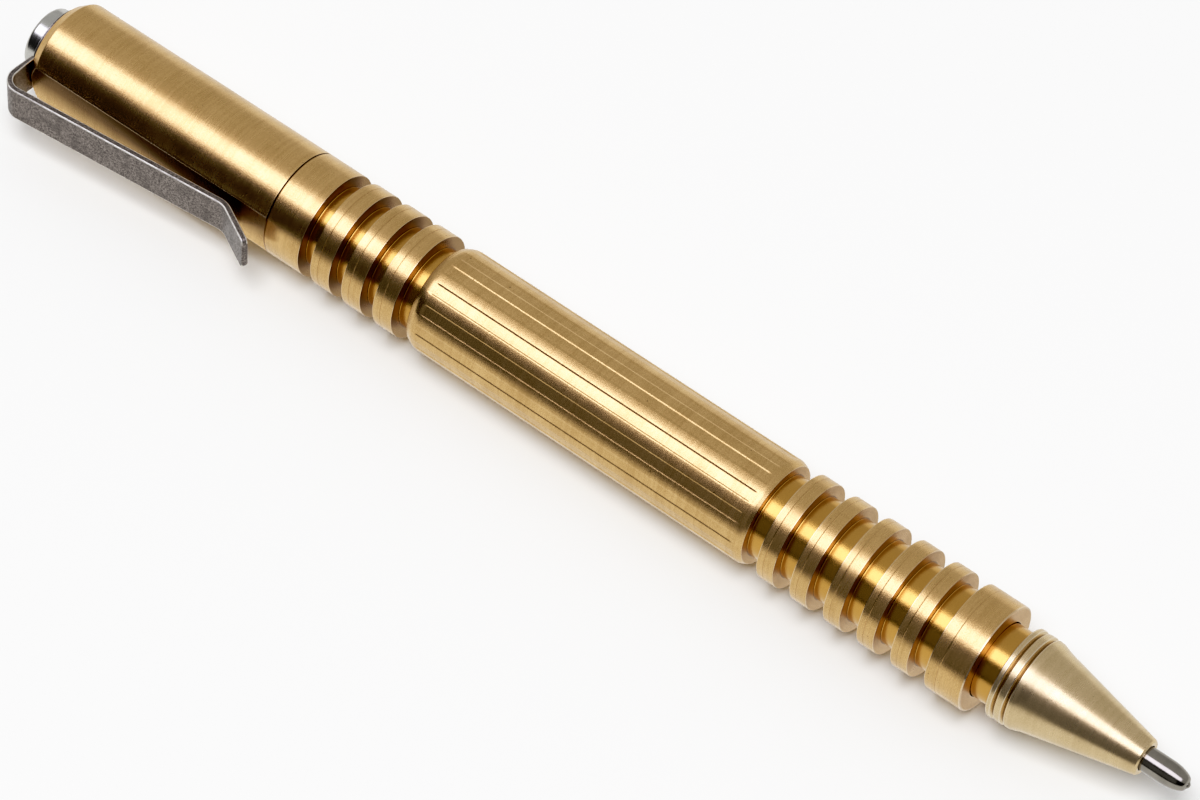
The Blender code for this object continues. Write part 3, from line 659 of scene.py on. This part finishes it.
def nose_cone():
    """The nose, from its mouth back to its spigot in the front barrel, and forward through the bore,
    which narrows to the spring's room and again to the mouth. The neck behind its collar has the
    barrel's colour, with the grooves' painted shade for the reflections in its recess."""
    groove_depth, groove_half = 0.34, 0.22
    spigot_z = WIDE_RING_Z + 0.4
    spigot_bore, refill_bore, mouth_bore = 3.1, 1.95, 1.31
    step_z, step_end_z, shoulder_z = 115.6, 116.7, 124
    outline = [(1.70, MOUTH_Z, 0.05), (1.87, MOUTH_Z - 0.17, 0.08)]
    outline += [(4.22, NOSE_Z + 3.5, 2.5), (NOSE_RADIUS - 0.10, NOSE_Z + 2.55, 0.6)]
    for groove in (1.80, 0.70):
        outline += [(NOSE_RADIUS - 0.04, NOSE_Z + groove + groove_half, 0.10)]
        outline += [(NOSE_RADIUS - groove_depth, NOSE_Z + groove, 0.06)]
        outline += [(NOSE_RADIUS, NOSE_Z + groove - groove_half, 0.10)]
    outline += [(NOSE_RADIUS, NOSE_Z, 0.12), (NECK_RADIUS, NOSE_Z, 0.04)]
    outline += [(NECK_RADIUS, spigot_z, 0), (spigot_bore, spigot_z, 0), (spigot_bore, step_z, 0)]
    outline += [(refill_bore, step_end_z, 0), (refill_bore, shoulder_z, 0)]
    outline += [(mouth_bore, shoulder_z, 0), (mouth_bore, MOUTH_Z, 0.06)]
    piece = turned("nose_cone_shell", rounded(outline, 0.05), NOSE_BRASS)
    # The neck takes the barrel's brass, and with it the grooves' painted shade.
    collar_rear = RIM + (NOSE_Z - 0.02) * MM
    finish_faces(piece, BRASS, lambda face: face.center.x < collar_rear)
    stand_for(piece, "barrel", "pale_brass", "nose_cone")


# Steel clip


def bend_arc(before, here, after, radius):
    """Points round the bend at here, between the straight stretches from before and to after."""
    steps = 14
    back = (before - here).normalized()
    ahead = (after - here).normalized()
    turn = math.pi - back.angle(ahead)
    reach = radius * math.tan(turn / 2)
    centre = here + (back + ahead).normalized() * radius / math.cos(turn / 2)
    start = here + back * reach - centre
    sign = 1 if start.y * back.x - start.x * back.y > 0 else -1
    points = []
    for k in range(steps + 1):
        swing = sign * turn * k / steps
        c, s = math.cos(swing), math.sin(swing)
        points.append(centre + Vector((start.x * c - start.y * s, start.x * s + start.y * c)))
    return points


def clip_path():
    """The outer face of the clip's strip in the (x, z) plane, in small steps, with the directions
    across the strip's thickness and along it at each."""
    tilt = math.radians(5.4)
    tail_turn = math.radians(28)
    longest_step = 1.2
    leg = Vector((math.cos(tilt), -math.sin(tilt)))
    arm = Vector((-math.sin(tilt), math.cos(tilt)))
    tail = Vector((math.sin(tail_turn), math.cos(tail_turn)))
    foot = Vector((CLIP_FOOT_X, EYE_Z - CLIP_THICKNESS - 0.02))
    corner = foot + leg * (CLIP_REACH - foot.x) / leg.x
    kink = corner + arm * (CLIP_KINK_Z - corner.y) / arm.y
    end = kink + tail * CLIP_TAIL_LENGTH
    path = [foot, *bend_arc(foot, corner, kink, 1.9), *bend_arc(corner, kink, end, 2.0), end]
    dense = []
    for a, b in zip(path, path[1:]):
        cuts = max(1, round((b - a).length / longest_step))
        dense += [a + (b - a) * i / cuts for i in range(cuts)]
    dense.append(path[-1])
    made = []
    for i, here in enumerate(dense):
        ahead = dense[min(i + 1, len(dense) - 1)] - dense[max(i - 1, 0)]
        ahead.normalize()
        made.append((here, Vector((-ahead.y, ahead.x)), ahead))
    return made


def clip_section(outer, normal, half_width, half_height):
    """A loop round the strip: a rectangle with its edges broken."""
    middle = outer + normal * half_height
    edge = min(0.09, half_height * 0.4)
    corners = [(1, 1), (-1, 1), (-1, -1), (1, -1)]
    loop = []
    for i, (side, up) in enumerate(corners):
        corner = [(side * (half_width - edge * 1.7), up * half_height, 0)]
        for k in range(5):
            turn = math.pi / 2 * k / 4
            out = edge * (1 - math.sin(turn))
            down = edge * (1 - math.cos(turn))
            # The bevel's points are marked 1, which paints them pale: wear and a painted highlight.
            corner.append((side * (half_width - out), up * (half_height - down), 1))
        corner.append((side * half_width, up * (half_height - edge * 1.5), 0))
        if i % 2 == 0:
            corner.reverse()
        loop += corner
    return [
        (middle.x + normal.x * up, side, middle.y + normal.y * up, wear_and_painted_light) for side, up, wear_and_painted_light in loop
    ]


def clip_strip(path):
    """The strip, thin where it crosses the rim and at its full thickness past it, with rounded
    corners and a broken edge at its end."""
    half_width = CLIP_WIDTH / 2
    half_height = CLIP_ARM_THICKNESS / 2
    thin_until, full_from = 4.9, 6.1
    loops = []
    for outer, normal, _ in path[:-1]:
        share = (outer.x - thin_until) / (full_from - thin_until)
        share = min(max(share, 0), 1) if outer.y < 1 else 1
        thickness = CLIP_THICKNESS + (CLIP_ARM_THICKNESS - CLIP_THICKNESS) * share
        loops.append(clip_section(outer, normal, half_width, thickness / 2))
    end, normal, ahead = path[-1]
    corner = 0.5
    edge = 0.06
    steps = 9
    for k in range(steps + 1):
        turn = math.pi / 2 * k / steps
        back = corner * (1 - math.sin(turn)) + edge
        width = half_width - corner * (1 - math.cos(turn))
        loops.append(clip_section(end - ahead * back, normal, width, half_height))
    face_width = half_width - corner - 0.05
    face = clip_section(end + normal * edge, normal, face_width, half_height - edge)
    loops.append([(*point[:3], 0) for point in face])
    return shell(loops, closed=False)


def clip():
    """The clip, with painted shade on its inner face and painted light inside its tail."""
    path = clip_path()
    eye_radius = 4.20
    bottom = EYE_Z - CLIP_THICKNESS
    ring = [(eye_radius, EYE_Z), (eye_radius, bottom), (REAR_BORE, bottom), (REAR_BORE, EYE_Z)]
    shells = [clip_strip(path), turned_shell(rounded(ring, 0.05, 2), 96)]
    piece = mesh_object("pocket_clip", shells, CLIP_STEEL)
    inward = PEN.to_3x3() @ Vector((-1, 0, 0))
    bend = PEN @ (Vector((5.6, 0, 3.0)) * MM)
    tail = RIM + 26.2 * MM

    def inside(face):
        if face.center.x < bend.x:
            return face.center.y < bend.y and max(face.normal.x, face.normal.dot(inward)) > 0.6
        return face.center.x < tail and face.normal.dot(inward) > 0.9

    def inside_tail(face):
        return face.center.x > tail and face.normal.dot(inward) > 0.6

    finish_faces(piece, CLIP_INSIDE_PAINTED_SHADE, inside)
    finish_faces(piece, CLIP_TAIL_PAINTED_LIGHT, inside_tail)
    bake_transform(piece)
    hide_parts("clip_root", "clip_arm")


# Polished pieces


def push_button():
    """A cup, open to the front, with a rounded edge round its flat end."""
    radius = 3.35
    bore = 2.6
    edge = 0.5
    low = station("push_button", 0)
    high = station("push_button", 1)
    floor_z = low + 1.2
    steps = 10
    profile = [(0, floor_z), (bore, floor_z), (bore, high), (radius, high)]
    for k in range(steps + 1):
        turn = -math.pi / 2 * k / steps
        profile.append((radius - edge + edge * math.cos(turn), low + edge + edge * math.sin(turn)))
    profile += [(1.6, low), (0, low)]
    piece = turned("push_button_cap", profile, STEEL, 96, closed=False)
    stand_for(piece, "button", "steel", "push_button")


def retaining_collar():
    """A collar whose thin flange shows behind the clip's eye."""
    bore, outer, flange = 3.43, 3.66, 3.95
    low = station("retaining_collar", 0)
    high = station("retaining_collar", 1)
    step_z = low + 0.15
    ring = [(outer, high), (outer, step_z, 0), (flange, step_z), (flange, low), (bore, low)]
    piece = turned("retaining_collar_ring", rounded(ring + [(bore, high)], 0.04, 2), STEEL, 96)
    stand_for(piece, "barrel", "steel", "retaining_collar")


def writing_point():
    """The point, a swelling nose with a socket in its tip, and the ball in the socket."""
    radius, stem = 1.225, 0.85
    ball = 0.35
    socket = ball + 0.02
    rim = ball + 0.05
    rim_z = TIP_Z - 0.22
    socket_z = rim_z - 0.55
    nose_z, plain_z = 130.8, 128.9
    shoulder = station("tip_holder", 1) + 0.1
    start = station("refill_point", 0)
    profile = [(0, socket_z), (socket, socket_z), (socket, rim_z), (rim, rim_z)]
    steps = 22
    for i in range(1, steps + 1):
        share = i / steps
        swell = math.sqrt(1 - (1 - share) ** 2)
        profile.append((rim + (radius - rim) * swell, rim_z + (nose_z - rim_z) * share))
    profile += [(radius, plain_z), (radius, shoulder), (stem, shoulder), (stem, start), (0, start)]
    piece = turned("writing_point", profile[::-1], POINT_STEEL, 96, closed=False)
    stand_for(piece, "refill", "point_steel", "refill_point")

    middle = TIP_Z - ball
    steps = 16
    profile = []
    for k in range(steps + 1):
        turn = math.pi * k / steps
        profile.append((ball * math.sin(turn), middle + ball * math.cos(turn)))
    piece = turned("writing_ball", profile, POINT_STEEL, 32, closed=False)
    stand_for(piece, "ball", "carbide", "point_ball")


def return_spring():
    """The spring between the nose's shoulder and the refill."""
    wire = 0.18
    coil = 1.67
    low = station("return_spring", 0) + wire
    high = station("return_spring", 1) - wire
    turns = 10
    steps = 20
    sides = 10
    loops = []
    for i in range(turns * steps + 1):
        turn = 2 * math.pi * i / steps
        middle = low + (high - low) * i / (turns * steps)
        loop = []
        for k in range(sides):
            around = 2 * math.pi * k / sides
            radius = coil + wire * math.cos(around)
            z = middle + wire * math.sin(around)
            loop.append((radius * math.cos(turn), radius * math.sin(turn), z, 0))
        loops.append(loop)
    drawn = polished_steel("spring_wire", (0.64, 0.64, 0.65), (0.55, 0.55, 0.56), 0.2)
    piece = mesh_object("return_spring_coil", [shell(loops, closed=False)], drawn)
    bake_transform(piece)
    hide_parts("return_spring")


def inner_pieces():
    """The pieces inside keep their CAD shape, with finished materials."""
    white = moulded("white_plastic", (0.86, 0.86, 0.83), (0.80, 0.80, 0.77), 0.42)
    black = moulded("black_plastic", (0.05, 0.05, 0.055), (0.035, 0.035, 0.04), 0.38)
    tube = polished_steel("drawn_steel", (0.64, 0.64, 0.65), (0.56, 0.56, 0.57), 0.26)
    holder = turned_metal("holder_brass", (0.80, 0.60, 0.32), (0.72, 0.52, 0.26), 0.3, 0.003, 0.001)
    finishes = {
        "mechanism_tube": tube,
        "cam_sleeve": white,
        "plunger": white,
        "rotor": black,
        "refill_plug": white,
        "refill_tube": tube,
        "tip_holder": holder,
        "ink_column": moulded("blue_ink", (0.015, 0.03, 0.16), (0.01, 0.02, 0.11), 0.15, 0.001),
        "ink_follower": moulded("grease", (0.76, 0.72, 0.52), (0.68, 0.62, 0.42), 0.25, 0.002),
        "joint_o_ring": moulded("rubber", (0.03, 0.03, 0.03), (0.02, 0.02, 0.02), 0.7, 0.008),
    }
    for node, material in finishes.items():
        slots = frame["nodes"][node].data.materials
        slots.clear()
        slots.append(material)


rear_barrel()
front_barrel()
nose_cone()
clip()
push_button()
retaining_collar()
writing_point()
return_spring()
inner_pieces()


# Floor, light and camera


def floor():
    mesh = bpy.data.meshes.new("floor")
    reach = 6.0
    corners = [(-reach, -reach, 0), (reach, -reach, 0), (reach, reach, 0), (-reach, reach, 0)]
    mesh.from_pydata(corners, [], [(0, 1, 2, 3)])
    made = Nodes("floor")
    made.shader.inputs["Base Color"].default_value = (0.93, 0.93, 0.93, 1)
    made.shader.inputs["Roughness"].default_value = 0.9
    made.shader.inputs["Specular IOR Level"].default_value = 0.0
    mesh.materials.append(made.material)
    obj = bpy.data.objects.new("floor", mesh)
    bpy.context.scene.collection.objects.link(obj)
    obj.location.z = min(cad_box[0].z, 0) - 0.01 * MM
    obj.visible_glossy = False


def surroundings():
    """A pale room that is dark low down on the clip's side, which draws the band along the pen. The
    metal mirrors the room's lower half in place of the floor."""
    world = bpy.data.worlds.new("studio")
    bpy.context.scene.world = world
    world.use_nodes = True
    tree = world.node_tree

    def add(kind, *sources, **settings):
        """A node, with its first inputs fed from sockets or set to numbers."""
        node = tree.nodes.new("ShaderNode" + kind)
        for key, value in settings.items():
            setattr(node, key, value)
        for source, socket in zip(sources, node.inputs):
            if isinstance(source, bpy.types.NodeSocket):
                tree.links.new(source, socket)
            else:
                socket.default_value = source
        return node

    def brightness(angle, low, high, start, end):
        """From start at one angle, in degrees, to end at the other."""
        edges = (math.radians(low), math.radians(high))
        ramp = add("MapRange", angle, *edges, start, end, interpolation_type="SMOOTHSTEP")
        return ramp.outputs[0]

    direction = add("TexCoord").outputs["Generated"]
    parts = add("SeparateXYZ", direction)
    clip_side = add("Math", parts.outputs["Y"], -1.0, operation="MULTIPLY").outputs[0]
    angle = add("Math", parts.outputs["Z"], clip_side, operation="ARCTAN2").outputs[0]
    above = brightness(angle, 44, 60, 0.045, 0.58)
    below = brightness(angle, -3, -9, 0.0, 0.90)
    total = add("Math", above, below, operation="ADD")
    background = tree.nodes["Background"]
    tree.links.new(total.outputs[0], background.inputs["Strength"])
    background.inputs["Color"].default_value = (1, 1, 1, 1)


def softbox(
    name, azimuth, elevation, distance, length, width, radiance, sees, shift=0.0, tint=(1, 1, 1)
):
    """A rectangular lamp that faces the pen from the side of its clip, and that either the mirrors
    see or the floor does."""
    light = bpy.data.lights.new(name, "AREA")
    light.color = tint
    light.shape = "RECTANGLE"
    light.size = length
    light.size_y = width
    light.energy = radiance * math.pi * length * width
    obj = bpy.data.objects.new(name, light)
    bpy.context.scene.collection.objects.link(obj)
    turn = math.radians(azimuth)
    rise = math.radians(elevation)
    level = math.cos(rise) * distance
    obj.location = (
        shift + math.sin(turn) * level,
        AXIS_Y - math.cos(turn) * level,
        AXIS_Z + math.sin(rise) * distance,
    )
    obj.rotation_euler = (math.pi / 2 - rise, 0, turn)
    obj.visible_camera = False
    obj.visible_glossy = sees == "mirrors"
    obj.visible_diffuse = sees == "floor"


def camera():
    data = bpy.data.cameras.new("camera")
    data.lens = 165
    data.sensor_width = 36
    data.clip_start = 0.01
    data.clip_end = 20
    obj = bpy.data.objects.new("camera", data)
    bpy.context.scene.collection.objects.link(obj)
    azimuth = math.radians(38.2)
    elevation = math.radians(56.4)
    distance = 0.513
    target = Vector((RIM + 66.5 * MM, AXIS_Y, AXIS_Z))
    back = Vector(
        (
            math.sin(azimuth) * math.cos(elevation),
            -math.cos(azimuth) * math.cos(elevation),
            math.sin(elevation),
        )
    )
    obj.location = target + back * distance
    obj.rotation_mode = "QUATERNION"
    obj.rotation_quaternion = (-back).to_track_quat("-Z", "Y")
    bpy.context.scene.camera = obj


def film():
    """A gentle film curve over the plain display: deeper shadows and a soft shoulder."""
    view = bpy.context.scene.view_settings
    view.view_transform = "Standard"
    view.use_curve_mapping = True
    white = 1.5
    curves = view.curve_mapping
    curves.white_level = (white, white, white)
    curves.extend = "HORIZONTAL"
    curve = curves.curves[3]
    shape = [(0.03, 0.004), (0.06, 0.025), (0.13, 0.085), (0.27, 0.235), (0.55, 0.54)]
    shape += [(0.85, 0.81), (1.0, 0.92), (1.12, 0.97), (1.25, 0.99)]
    curve.points[0].location = (0, 0)
    curve.points[1].location = (1, 1)
    for scene_value, shown in shape:
        curve.points.new(scene_value / white, shown)
    curves.update()


floor()
surroundings()
softbox("key_light", 0, 72, 0.70, 1.3, 0.41, 2.25, "mirrors", shift=-0.10, tint=(1.0, 0.98, 1.22))
softbox("front_card", 0, 23, 0.16, 0.20, 0.105, 0.16, "mirrors", shift=0.022)
softbox("floor_light", 15, 74, 1.6, 0.9, 0.9, 8.0, "floor")
camera()
film()
